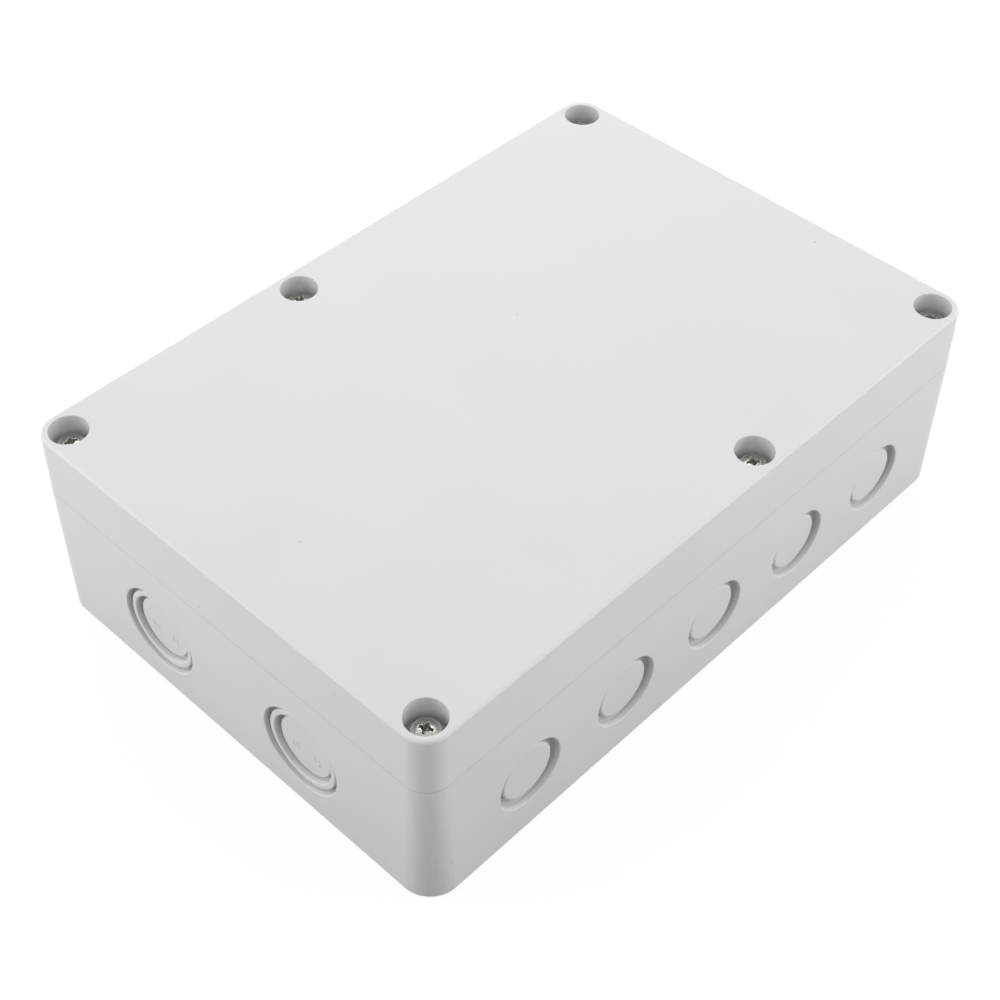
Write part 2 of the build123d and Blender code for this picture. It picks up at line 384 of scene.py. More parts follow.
class Nodes:
    """A short way to wire one tree's nodes, where an input takes a socket or a plain value."""

    def __init__(self, tree: NodeTree) -> None:
        """Takes the tree that nodes are added to."""
        self.tree = tree

    def feed(self, target: NodeSocket, value: object) -> None:
        """Links or sets an input.

        Args:
            target: the input.
            value: the socket to link it to, or its plain value.
        """
        if isinstance(value, NodeSocket):
            self.tree.links.new(value, target)
        else:
            target.default_value = value

    def set(self, node: Node, **settings: object) -> Node:
        """Sets up a node.

        Args:
            node: the node.
            **settings: its properties, in small letters, and its inputs, with a capital first
                and underscores for spaces.

        Returns:
            The same node.
        """
        for name, value in settings.items():
            if name[0].isupper():
                self.feed(node.inputs[name.replace("_", " ")], value)
            else:
                setattr(node, name, value)
        return node

    def add(self, kind: str, **settings: object) -> Node:
        """Adds a node by its type without the leading ShaderNode, and sets it up."""
        return self.set(self.tree.nodes.new("ShaderNode" + kind), **settings)

    def math(self, operation: str, *values: object, clamp: bool = False) -> NodeSocket:
        """Adds a Math node.

        Args:
            operation: the node's operation.
            *values: what its inputs take.
            clamp: whether the result is held between 0 and 1.

        Returns:
            The result's socket.
        """
        node = self.add("Math", operation=operation, use_clamp=clamp)
        for target, value in zip(node.inputs, values):
            self.feed(target, value)
        return node.outputs[0]

    def product(self, result: object, *others: object) -> NodeSocket:
        """Multiplies sockets and numbers.

        Args:
            result: the first one.
            *others: the rest.

        Returns:
            The product's socket.
        """
        for other in others:
            result = self.math("MULTIPLY", result, other)
        return result

    def length(self, first: NodeSocket, second: NodeSocket) -> NodeSocket:
        """Length of a line with two sides at right angles."""
        squares = [self.product(side, side) for side in (first, second)]
        return self.math("SQRT", self.math("ADD", *squares))

    def blend(self, factor: object, first: object, second: object) -> NodeSocket:
        """Mixes two colours.

        Args:
            factor: 0 for the first colour and 1 for the second.
            first: the first colour.
            second: the second colour.

        Returns:
            The mixed colour's socket.
        """
        node = self.add("Mix", data_type="RGBA")
        # A Mix node's colours go into inputs 6 and 7 and come out of output 2.
        for index, value in ((0, factor), (6, first), (7, second)):
            self.feed(node.inputs[index], value)
        return node.outputs[2]

    def ramp(self, value: NodeSocket, low: float, high: float) -> NodeSocket:
        """Stretches a value so that low gives 0 and high gives 1, and nothing passes them."""
        limits = {"Value": value, "From_Min": low, "From_Max": high}
        return self.add("MapRange", clamp=True, **limits).outputs["Result"]

    def line(self, value: NodeSocket, middle: float, half: float) -> NodeSocket:
        """Masks a thin line where a value is within half of a middle one."""
        away = self.math("ABSOLUTE", self.math("SUBTRACT", value, middle))
        return self.math("SUBTRACT", 1.0, self.ramp(away, half / 2, half))

    def parts(self, vector: NodeSocket) -> NodeOutputs:
        """Splits a vector and gives its X, Y and Z sockets."""
        return self.add("SeparateXYZ", Vector=vector).outputs

    def upward(self) -> NodeSocket:
        """How far the surface faces up: 1 on a top, 0 on a wall and -1 underneath."""
        return self.parts(self.add("NewGeometry").outputs["Normal"])["Z"]


class SharedEffects:
    """Shader groups that more than one finish uses."""

    drift_range: ClassVar[Pair] = (0.3, 0.7)
    bend_range: ClassVar[Pair] = (0.01, 0.25)
    dot_range: ClassVar[Pair] = (0.02, 0.06)

    def __init__(self) -> None:
        """Builds each group once."""
        self.grain = self._grain()
        self.edges = self._edges()
        self.specks = self._specks()

    @staticmethod
    def _group(
        name: str, numbers: dict[str, float], results: Sequence[str]
    ) -> tuple[Nodes, NodeOutputs, Node]:
        """Makes an empty group with a Vector input.

        Args:
            name: the group's name.
            numbers: each further input with its default.
            results: the outputs' names.

        Returns:
            The group's nodes, the sockets of its inputs and the node that takes its results.
        """
        tree = bpy.data.node_groups.new(name, "ShaderNodeTree")
        add = tree.interface.new_socket
        add("Vector", in_out="INPUT", socket_type="NodeSocketVector")
        for label, default in numbers.items():
            add(label, in_out="INPUT", socket_type="NodeSocketFloat").default_value = default
        for label in results:
            add(label, in_out="OUTPUT", socket_type="NodeSocketFloat")
        entry = tree.nodes.new("NodeGroupInput")
        return Nodes(tree), entry.outputs, tree.nodes.new("NodeGroupOutput")

    def _grain(self) -> NodeTree:
        """Fine spark-eroded grain with a slow drift of tone.

        Returns:
            The group, with Height and Drift outputs.
        """
        scales = {"Scale": 2500.0, "Slow Scale": 14.0}
        nodes, given, result = self._group("fine_grain", scales, ("Height", "Drift"))
        fine = nodes.add("TexNoise", Detail=3.0, Roughness=0.6)
        slow = nodes.add("TexNoise", Detail=2.0, Roughness=0.5)
        nodes.set(fine, Vector=given["Vector"], Scale=given["Scale"])
        nodes.set(slow, Vector=given["Vector"], Scale=given["Slow Scale"])
        drift = nodes.ramp(slow.outputs["Fac"], *self.drift_range)
        nodes.set(result, Height=fine.outputs["Fac"], Drift=drift)
        return nodes.tree

    def _edges(self) -> NodeTree:
        """Mask of rounded and worn edges, found by how far the normal bends nearby.

        Returns:
            The group, with a Mask output.
        """
        numbers = {"Radius": 0.4 * MM, "Break Up": 0.3}
        nodes, given, result = self._group("edge_mask", numbers, ("Mask",))
        bent = nodes.add("Bevel", samples=4, Radius=given["Radius"])
        plain = nodes.add("NewGeometry")
        match = nodes.add("VectorMath", operation="DOT_PRODUCT")
        nodes.feed(match.inputs[0], bent.outputs["Normal"])
        nodes.feed(match.inputs[1], plain.outputs["Normal"])
        bend = nodes.ramp(nodes.math("SUBTRACT", 1.0, match.outputs["Value"]), *self.bend_range)
        rough = nodes.add("TexNoise", Scale=420.0, Detail=2.0, Vector=given["Vector"])
        broken = nodes.product(rough.outputs["Fac"], given["Break Up"])
        nodes.set(result, Mask=nodes.math("SUBTRACT", bend, broken, clamp=True))
        return nodes.tree

    def _specks(self) -> NodeTree:
        """Sparse small specks, as dust in the moulding leaves.

        Returns:
            The group, with a Mask output.
        """
        numbers = {"Spacing Scale": 160.0, "Share": 0.02}
        nodes, given, result = self._group("specks", numbers, ("Mask",))
        cells = nodes.add("TexVoronoi", feature="F1")
        nodes.set(cells, Vector=given["Vector"], Scale=given["Spacing Scale"])
        dot = nodes.math("SUBTRACT", 1.0, nodes.ramp(cells.outputs["Distance"], *self.dot_range))
        chance = nodes.add("SeparateColor", Color=cells.outputs["Color"])
        few = nodes.math("LESS_THAN", chance.outputs["Red"], given["Share"])
        nodes.set(result, Mask=nodes.product(dot, few))
        return nodes.tree


@dataclass(frozen=True)
class Finish:
    """What all finishes share: a name, a colour and a roughness."""

    name: str
    colour: Colour
    roughness: float


class Skin(Nodes):
    """The nodes of one finish's material, with its shader and the vector of its patterns."""

    def __init__(self, finish: Finish, place: Attribute | None = None) -> None:
        """Makes the material.

        Args:
            finish: the finish that it is for.
            place: the attribute that patterns follow, or none for Object coordinates.
        """
        self.finish = finish
        self.material = bpy.data.materials.new(finish.name)
        self.material.use_nodes = True
        self.material.diffuse_color = finish.colour
        super().__init__(self.material.node_tree)
        self.shader = self.tree.nodes["Principled BSDF"]
        self.set(self.shader, Base_Color=finish.colour, Roughness=finish.roughness)
        self.vector = self.add("TexCoord").outputs["Object"]
        if place:
            self.vector = self.add("Attribute", attribute_name=place.value).outputs["Vector"]

    def effect(self, group: NodeTree, **values: float) -> NodeOutputs:
        """Places a shared group with its own values, and gives its outputs."""
        return self.add("Group", node_tree=group, Vector=self.vector, **values).outputs

    def paint(self, tone: NodeSocket, layers: Iterable[Layer]) -> None:
        """Lays colours over a tone, each by its mask, as the shader's colour.

        Args:
            tone: the colour underneath.
            layers: each mask with its colour, from the lowest up.
        """
        for mask, colour in layers:
            tone = self.blend(mask, tone, colour)
        self.set(self.shader, Base_Color=tone)

    def uneven(self, pattern: NodeSocket, spread: Pair) -> NodeSocket:
        """The finish's roughness, made less to more by the two spreads with a pattern."""
        low, high = self.finish.roughness - spread[0], self.finish.roughness + spread[1]
        return self.add("MapRange", Value=pattern, To_Min=low, To_Max=high).outputs["Result"]

    def emboss(self, pattern: NodeSocket, strength: float, depth: float) -> None:
        """Raises a pattern by a depth as bump."""
        bump = self.add("Bump", Strength=strength, Distance=depth * MM, Height=pattern)
        self.set(self.shader, Normal=bump.outputs["Normal"])


@dataclass(frozen=True)
class MouldedPlastic(Finish):
    """Light grey moulded plastic with a very fine satin grain.

    A slope is a range of how far the surface faces up, and a reach is a range of how deep in a
    knock-out's groove it lies, from 0 at the face to 1 on the floor.
    """

    shine: float = 0.33
    paler: Point = (1.012, 1.012, 1.012)
    darker: Point = (0.988, 0.988, 0.989)
    # Paler rounded edges: partly edge wear, partly a painted highlight along the rims.
    edge_wear_and_highlight_colour: Colour = (0.78, 0.77, 0.715, 1.0)
    edge_radius: float = 0.35
    edge_share: float = 0.22
    speck_colour: Colour = (0.30, 0.27, 0.20, 1.0)
    speck_share: float = 0.45
    # Painted highlight on the lid's top rims; the same colour is painted light on the grooves'
    # upward sides.
    painted_light_colour: Colour = (0.84, 0.84, 0.83, 1.0)
    rim_highlight_share: float = 0.35
    rim_highlight_level: float = 74.5
    rim_highlight_slope: Pair = (0.1, 0.35)
    rim_highlight_flat_slope: Pair = (0.95, 0.998)
    # Painted light on the knock-out grooves' upward-facing sides.
    lit_upside_reach: Pair = (0.08, 0.3)
    lit_upside_slope: Pair = (0.15, 0.8)
    # Painted shade in the knock-outs' grooves: darker deep down and on the sides that face away
    # from the light above.
    groove_shade_colour: Colour = (0.345, 0.33, 0.36, 1.0)
    shaded_wall_reach: Pair = (0.1, 0.6)
    shaded_wall_slope: Pair = (-0.55, 0.35)
    shaded_wall_share: float = 0.22
    shaded_floor_reach: Pair = (0.4, 0.95)
    shaded_floor_share: float = 0.7
    joint_colour: Colour = (0.40, 0.36, 0.27, 1.0)
    joint_height: float = 53.0
    joint_half: float = 0.28
    joint_share: float = 0.45
    joint_steepness: float = 0.8
    witness_x: float = 117.3
    witness_y: float = 87.3
    witness_half: float = 0.25
    witness_share: float = 0.06
    spread: Pair = (0.05, 0.07)
    bump: float = 0.35
    grain_depth: float = 0.006

    def build(self, effects: SharedEffects) -> Material:
        """Builds the material.

        Args:
            effects: the shared shader groups.

        Returns:
            The finished material.
        """
        skin = Skin(self)
        skin.set(skin.shader, Specular_IOR_Level=self.shine)
        grain = skin.effect(effects.grain, Scale=3200.0, Slow_Scale=22.0)
        edges = skin.effect(effects.edges, Radius=self.edge_radius * MM, Break_Up=0.25)
        specks = skin.effect(effects.specks, Spacing_Scale=110.0, Share=0.03)
        darker, paler = scaled(self.colour, self.darker), scaled(self.colour, self.paler)
        layers = (
            # Rounded edges made paler: partly edge wear, partly a painted highlight.
            (skin.product(edges["Mask"], self.edge_share), self.edge_wear_and_highlight_colour),
            # Painted highlight on the lid's top rims, and painted light and painted shade in the
            # knock-outs' grooves.
            *self._painted_light_and_shade(skin),
            (skin.product(specks["Mask"], self.speck_share), self.speck_colour),
            (self._mould_lines(skin), self.joint_colour),
        )
        skin.paint(skin.blend(grain["Drift"], darker, paler), layers)
        skin.set(skin.shader, Roughness=skin.uneven(grain["Height"], self.spread))
        skin.emboss(grain["Height"], self.bump, self.grain_depth)
        return skin.material

    def _painted_light_and_shade(self, skin: Skin) -> list[Layer]:
        """Paints a highlight on the lid's top rims, light on the grooves' upward sides and shade
        in the rest of them.

        Args:
            skin: the material's nodes.

        Returns:
            The three masks, each with its colour.
        """
        upward = skin.upward()
        # Painted highlight: a paler band on the lid's rounded top rims, where they tilt up
        # towards the light.
        raised, flat = skin.ramp(upward, *self.rim_highlight_slope), skin.ramp(upward, *self.rim_highlight_flat_slope)
        high = skin.math("GREATER_THAN", skin.parts(skin.vector)["Z"], self.rim_highlight_level * MM)
        painted_rim_highlight = skin.product(skin.math("SUBTRACT", raised, flat), high, self.rim_highlight_share)
        groove = skin.add("Attribute", attribute_name=Attribute.GROOVE.value).outputs["Fac"]
        # Painted light: the grooves' upward-facing sides are made paler, as light from above
        # falls on them.
        slope = skin.ramp(upward, *self.lit_upside_slope)
        painted_lit_upsides = skin.product(skin.ramp(groove, *self.lit_upside_reach), slope)
        # Painted shade: the grooves' downward-facing walls and their floors are darkened where
        # shade falls.
        facing_down = skin.math("SUBTRACT", 1.0, skin.ramp(upward, *self.shaded_wall_slope))
        shaded_walls = skin.product(skin.ramp(groove, *self.shaded_wall_reach), self.shaded_wall_share, facing_down)
        floor = skin.product(skin.ramp(groove, *self.shaded_floor_reach), self.shaded_floor_share)
        painted_groove_shade = skin.math("MAXIMUM", shaded_walls, floor)
        return [(painted_rim_highlight, self.painted_light_colour), (painted_lit_upsides, self.painted_light_colour), (painted_groove_shade, self.groove_shade_colour)]

    def _mould_lines(self, skin: Skin) -> NodeSocket:
        """Masks the dirt in the joint of the two shells, and a faint line that the mould leaves.

        Args:
            skin: the material's nodes.

        Returns:
            The mask's socket.
        """
        place = skin.parts(skin.vector)
        level, joint_level = place["Z"], self.joint_height * MM
        steep = skin.math("LESS_THAN", skin.math("ABSOLUTE", skin.upward()), self.joint_steepness)
        joint = skin.line(level, joint_level, self.joint_half * MM)
        side = skin.product(place["X"], skin.math("SIGN", place["Y"]))
        witness = skin.line(side, self.witness_x * MM, self.witness_half * MM)
        away = skin.math("ABSOLUTE", place["Y"])
        outside = skin.math("GREATER_THAN", away, self.witness_y * MM)
        below = skin.math("LESS_THAN", level, joint_level)
        witness = skin.product(witness, outside, below, self.witness_share)
        return skin.math("MAXIMUM", skin.product(joint, steep, self.joint_share), witness)


@dataclass(frozen=True)
class TurnedMetal(Finish):
    """Plated or turned metal with rings left by the tool round its own axis."""

    duller: Point = (0.86, 0.86, 0.86)
    worn_colour: Colour = (0.92, 0.905, 0.86, 1.0)
    edge_radius: float = 0.12
    edge_share: float = 0.6
    rubbed_from: float = 3.2
    rubbed_to: float = 4.1
    rubbed_share: float = 0.9
    # Painted shade in the head's cross recess.
    recess_shade_colour: Colour = (0.33, 0.315, 0.30, 1.0)
    recess_shade_share: float = 0.85
    recess_roughness: float = 0.2
    recess_reach: float = 2.6
    recess_foot: float = 0.8
    recess_depths: Pair = (0.1, 0.5)
    dome_radius: float = 10.5
    dome_centre: float = -6.8
    ring_scale: float = 3600.0
    ring_depth: float = 0.01
    spread: Pair = (0.04, 0.06)
    bump: float = 0.25

    def build(self, effects: SharedEffects) -> Material:
        """Builds the material.

        Args:
            effects: the shared shader groups.

        Returns:
            The finished material.
        """
        skin = Skin(self, Attribute.OWN_PLACE)
        skin.set(skin.shader, Metallic=1.0)
        place = skin.parts(skin.vector)
        radius = skin.length(place["X"], place["Y"])
        ring_place = skin.add("CombineXYZ", X=radius, Y=place["Z"]).outputs["Vector"]
        rings = skin.add("TexNoise", Scale=self.ring_scale, Detail=2.0, Vector=ring_place)
        grain = skin.effect(effects.grain, Scale=2600.0, Slow_Scale=260.0)
        edges = skin.effect(effects.edges, Radius=self.edge_radius * MM, Break_Up=0.4)
        recess = self._recess(skin, radius, place["Z"])
        rubbed = skin.ramp(radius, self.rubbed_from * MM, self.rubbed_to * MM)
        layers = (
            # Painted shade: the cross recess is darkened where shade falls in it.
            (skin.product(recess, self.recess_shade_share), self.recess_shade_colour),
            (skin.product(rubbed, self.rubbed_share), self.worn_colour),
            (skin.product(edges["Mask"], self.edge_share), self.worn_colour),
        )
        tone = skin.blend(grain["Drift"], scaled(self.colour, self.duller), self.colour)
        skin.paint(tone, layers)
        rough = skin.uneven(grain["Drift"], self.spread)
        rough = skin.math("MULTIPLY_ADD", recess, self.recess_roughness, rough)
        skin.set(skin.shader, Roughness=rough)
        skin.emboss(rings.outputs["Fac"], self.bump, self.ring_depth)
        return skin.material

    def _recess(self, skin: Skin, radius: NodeSocket, level: NodeSocket) -> NodeSocket:
        """Masks what lies well below a screw head's dome, near its axis, for the recess's painted
        shade and rougher finish.

        Args:
            skin: the material's nodes.
            radius: the distance from the piece's axis.
            level: the height along the axis.

        Returns:
            The mask's socket.
        """
        reach = skin.length(radius, skin.math("SUBTRACT", level, self.dome_centre * MM))
        depth = skin.math("SUBTRACT", self.dome_radius * MM, reach)
        sunk = skin.ramp(depth, *(limit * MM for limit in self.recess_depths))
        near = skin.math("LESS_THAN", radius, self.recess_reach * MM)
        above = skin.math("GREATER_THAN", level, self.recess_foot * MM)
        return skin.product(sunk, near, above)


@dataclass(frozen=True)
class SoftRubber(Finish):
    """Dark rubber, solid or foamed, with a fine pitted skin."""

    paler: Point = (1.5, 1.5, 1.5)
    dusty: Point = (2.6, 2.6, 2.5)
    edge_radius: float = 0.2
    edge_share: float = 0.6
    pit_scale: float = 1400.0
    pit_depth: float = 0.03
    spread: Pair = (0.08, 0.08)
    bump: float = 0.5

    def build(self, effects: SharedEffects) -> Material:
        """Builds the material.

        Args:
            effects: the shared shader groups.

        Returns:
            The finished material.
        """
        skin = Skin(self)
        grain = skin.effect(effects.grain, Scale=2200.0, Slow_Scale=60.0)
        edges = skin.effect(effects.edges, Radius=self.edge_radius * MM, Break_Up=0.4)
        pits = skin.add("TexVoronoi", Scale=self.pit_scale, Vector=skin.vector)
        dust = (skin.product(edges["Mask"], self.edge_share), scaled(self.colour, self.dusty))
        tone = skin.blend(grain["Drift"], self.colour, scaled(self.colour, self.paler))
        skin.paint(tone, (dust,))
        skin.set(skin.shader, Roughness=skin.uneven(grain["Height"], self.spread))
        skin.emboss(pits.outputs["Distance"], self.bump, self.pit_depth)
        return skin.material


def build_finishes() -> Finishes:
    """Builds the shared groups and every material.

    Returns:
        The material for each slot.
    """
    brass, foam = (0.74, 0.55, 0.24, 1.0), (0.035, 0.035, 0.037, 1.0)
    worn_brass, foam_pits = (0.9, 0.75, 0.42, 1.0), {"pit_scale": 2600.0, "pit_depth": 0.06}
    finishes = {
        Slot.PLASTIC: MouldedPlastic("light_grey_plastic", (0.70, 0.701, 0.698, 1.0), 0.52),
        Slot.STEEL: TurnedMetal("plated_screw_steel", (0.50, 0.49, 0.465, 1.0), 0.2),
        Slot.BRASS: TurnedMetal("turned_brass", brass, 0.28, worn_colour=worn_brass),
        Slot.WASHER: SoftRubber("black_washer_rubber", (0.018, 0.018, 0.018, 1.0), 0.55),
        Slot.GASKET: SoftRubber("grey_foam_gasket", foam, 0.8, **foam_pits),
    }
    effects = SharedEffects()
    return {slot: finish.build(effects) for slot, finish in finishes.items()}


@dataclass(frozen=True)
class Groove:
    """A round groove of a knock-out, with the disc or ring inside it.

    Its mouth is the radius at which the outer face starts to bend into it. The floor's and the
    disc's depths, floor and recess, are measured from the wall's face.
    """

    mouth: float
    disc: float
    floor: float
    recess: float
    disc_rounding: float


@dataclass(frozen=True)
class KnockoutRow:
    """A wall's row of like knock-outs, with each one's grooves from the outer one in."""

    count: int
    pitch: float
    height: float
    grooves: tuple[Groove, ...]


SINGLE_ROW = KnockoutRow(5, 42.5, 24.8, (Groove(13.14, 10.3, 2.75, 1.3, 1.0),))
DOUBLE_ROW = KnockoutRow(
    2, 66.0, 25.0, (Groove(16.4, 14.43, 2.75, 0.9, 0.5), Groove(12.92, 10.93, 3.75, 2.2, 0.5))
)


class Wall(Enum):
    """Outer walls of the base, each with the X and Y of the way that it faces."""

    FRONT = (0.0, -1.0)
    BACK = (0.0, 1.0)
    LEFT = (-1.0, 0.0)
    RIGHT = (1.0, 0.0)

    @property
    def outward(self) -> Vector:
        """The way that the wall faces."""
        return Vector((*self.value, 0.0))

    @property
    def row(self) -> KnockoutRow:
        """The wall's knock-outs: single ones in a long wall and double ones in a short one."""
        return SINGLE_ROW if self.outward.x == 0 else DOUBLE_ROW

    @property
    def turns(self) -> Point:
        """The turns in degrees that bring +Z out of the wall."""
        return (-90.0 * self.outward.y, 90.0 * self.outward.x, 0.0)

    def places(self) -> list[Vector]:
        """Finds the knock-outs' centres on the wall's outer face.

        Returns:
            The centres in metres, towards +X or +Y.
        """
        corner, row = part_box("base")[1], self.row
        middle = Vector((corner.x * self.outward.x, corner.y * self.outward.y, row.height * MM))
        along = Vector((abs(self.outward.y), abs(self.outward.x), 0.0)) * row.pitch * MM
        return [middle + along * (index - (row.count - 1) / 2) for index in range(row.count)]


@dataclass
class BaseShell:
    """The moulded base, with its knock-outs closed and cut again round and soft-edged."""

    node: str = "base"
    sink: float = 0.003
    clear: float = 1.0
    segments: int = 176
    mouth_rounding: float = 0.58
    foot_rounding: float = 0.7
    filling_margin: float = 0.1
    filling_overlap: float = 0.2

    def _cutter(self, grooves: Sequence[Groove]) -> Object:
        """Models what a knock-out takes out of a closed wall.

        Args:
            grooves: the knock-out's grooves.

        Returns:
            The cutter, with the wall's face at zero and +Z out of the wall.
        """
        soft, foot, level = self.mouth_rounding, self.foot_rounding, 0.0
        outline = [(0.0, self.clear), (grooves[0].mouth, self.clear)]
        for groove in grooves:
            outline += arc((groove.mouth, -level - soft), soft, 90, 180)
            wall = groove.mouth - soft
            outline += arc((wall - foot, -groove.floor + foot), foot, 0, -90)
            outline.append((groove.disc, -groove.floor))
            edge, level = groove.disc_rounding, groove.recess
            outline += arc((groove.disc - edge, -level - edge), edge, 0, 90)
        outline.append((0.0, -level))
        return turned("cutter", outline, self.segments)

    def _filling(self, grooves: Sequence[Groove]) -> Object:
        """Models a stepped plug that closes a knock-out's grooves.

        Args:
            grooves: the knock-out's grooves.

        Returns:
            The plug, with the wall's face at zero and +Z out of the wall.
        """
        level = -self.sink
        outline = [(0.0, level)]
        for groove in grooves:
            radius = groove.mouth - self.filling_margin
            outline.append((radius, level))
            level = -groove.floor - self.filling_overlap
            outline.append((radius, level))
        outline.append((0.0, level))
        return turned("filling", outline, self.segments)

    def _everywhere(self, modelled: Callable[[Sequence[Groove]], Object]) -> Object:
        """Puts a solid at every knock-out.

        Args:
            modelled: models the solid from a knock-out's grooves.

        Returns:
            All copies as one object.
        """
        copies = []
        for wall in Wall:
            model = modelled(wall.row.grooves)
            copies += [place_copy(model, "copy", place, wall.turns) for place in wall.places()]
            remove(model)
        return join_all(copies)

    def _groove_share(self, grooves: Sequence[Groove], radius: float, depth: float) -> float:
        """Tells how deep in a knock-out's groove a point lies.

        Args:
            grooves: the knock-out's grooves.
            radius: the point's distance from the knock-out's axis.
            depth: its depth below the wall's face.

        Returns:
            From 0 at the groove's face, or out of it, to 1 on its floor.
        """
        face = share = 0.0
        for groove in grooves:
            within = groove.disc - self.sink < radius < groove.mouth
            on_disc = radius < groove.disc + self.sink and depth < groove.floor - self.sink
            if within and depth < groove.floor + self.sink and not on_disc:
                share = max(0.0, (depth - face) / (groove.floor - face))
            face = groove.recess
        return share

    def _mark_grooves(self, base: Object) -> None:
        """Stores how deep in a groove each vertex lies, for the finish's painted light and shade
        in the grooves.

        Args:
            base: the cut base.
        """
        marks = base.data.attributes.new(Attribute.GROOVE.value, "FLOAT", "POINT")
        for wall, place in ((wall, place) for wall in Wall for place in wall.places()):
            outward, grooves = wall.outward, wall.row.grooves
            for vertex in base.data.vertices:
                offset = (vertex.co - place) / MM
                depth = -offset.dot(outward)
                share = self._groove_share(grooves, (offset + depth * outward).length, depth)
                if share:
                    marks.data[vertex.index].value = share

    def build(self, finishes: Finishes) -> None:
        """Closes and cuts all knock-outs again in a copy of the base.

        Args:
            finishes: the material for each slot.
        """
        base = merged_copy(self.node, "base_shell")
        combine(base, self._everywhere(self._filling), "UNION")
        combine(base, self._everywhere(self._cutter), "DIFFERENCE")
        self._mark_grooves(base)
        smooth_flat_faces_kept(base)
        hand_over(base, finishes, "base", Slot.PLASTIC, (self.node,))


@dataclass
class LidShell:
    """The moulded lid, with its counterbores cut again round and soft-edged."""

    node: str = "lid"
    radius: float = 6.455
    depth: float = 9.605
    rounding: float = 0.26
    clear: float = 1.0
    segments: int = 112

    def build(self, finishes: Finishes) -> None:
        """Cuts all counterbores again in a copy of the lid.

        Args:
            finishes: the material for each slot.
        """
        lid = merged_copy(self.node, "lid_shell")
        mouth = arc((self.radius + self.rounding, -self.rounding), self.rounding, 180, 90)
        outline = [(0.0, -self.depth), (self.radius, -self.depth), *mouth]
        outline += [(mouth[-1][0], self.clear), (0.0, self.clear)]
        model = turned("counterbore", outline, self.segments)
        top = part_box(self.node)[1].z
        places = [on_axis(f"lid_screw_{site.value}", top) for site in Site]
        cutters = join_all([place_copy(model, "cutter", place) for place in places])
        combine(lid, cutters, "DIFFERENCE")
        remove(model)
        smooth_flat_faces_kept(lid)
        hand_over(lid, finishes, "lid", Slot.PLASTIC, (self.node,))


class SitePieces:
    """Six copies of one model, one at each lid screw.

    The names of nodes, pieces and bodies have the site's name in place of their braces, and the
    model's origin stands origin_height over the node's foot.
    """

    node: ClassVar[str]
    name: ClassVar[str]
    body: ClassVar[str]
    slot: ClassVar[Slot]
    turns: ClassVar[dict[Site, float]] = {}
    origin_height: ClassVar[float] = 0.0

    def model(self) -> Object:
        """Models one piece with its axis on Z."""
        raise NotImplementedError

    def build(self, finishes: Finishes) -> None:
        """Models one piece and puts a copy at each site.

        Args:
            finishes: the material for each slot.
        """
        model = self.model()
        for site in Site:
            node = self.node.format(site.value)
            place = on_axis(node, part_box(node)[0].z + self.origin_height * MM)
            turns = (0.0, 0.0, self.turns.get(site, 0.0))
            piece = place_copy(model, self.name.format(site.value), place, turns)
            hand_over(piece, finishes, self.body.format(site.value), self.slot, (node,))
        remove(model)


